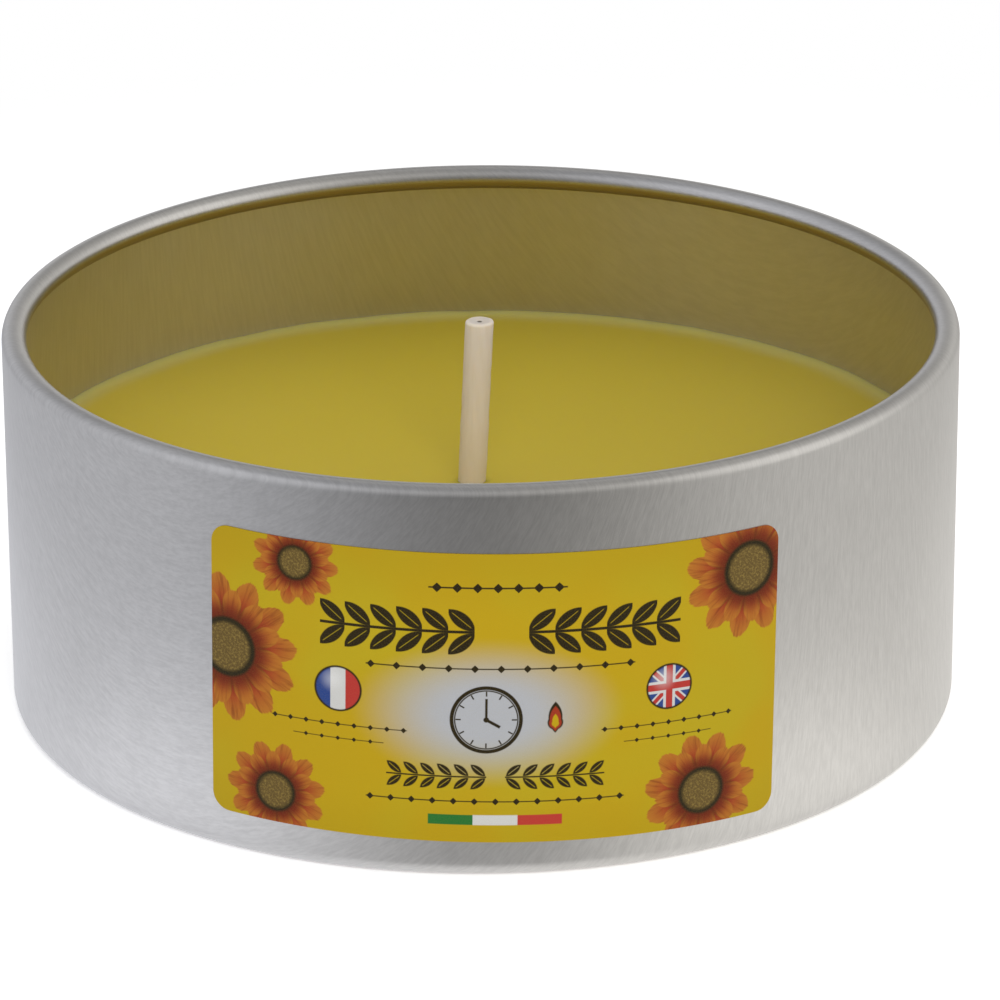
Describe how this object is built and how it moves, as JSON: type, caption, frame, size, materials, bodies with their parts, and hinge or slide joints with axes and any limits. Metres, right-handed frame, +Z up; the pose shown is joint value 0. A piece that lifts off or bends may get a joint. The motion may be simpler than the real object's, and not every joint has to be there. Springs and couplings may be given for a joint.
{
  "type": "citronella tin candle",
  "caption": "Round drawn tin with an inward-rolled rim, filled with yellow citronella wax round a thick upright wick, with a printed paper label on the front of the wall.",
  "frame": {"origin": "centre of the base, on the surface that the tin stands on", "axes": "+Z up along the axis of the tin, -Y out through the label, +X to the right as the label is read"},
  "size_m": [0.12, 0.1201, 0.05],
  "materials": {
    "tin": "satin brushed tinplate outside, gold lacquer inside",
    "wax": "smooth translucent yellow wax",
    "wick": "waxed cream cotton",
    "sustainer": "tinned",
    "glue": "hot-melt",
    "label_paper": "satin printed paper"
  },
  "bodies": {
    "root": {"tin_can": "tin", "wax_fill": "wax", "wick": "wick", "wick_sustainer": "sustainer", "sustainer_glue": "glue", "label": "label_paper"}
  },
  "joints": []
}
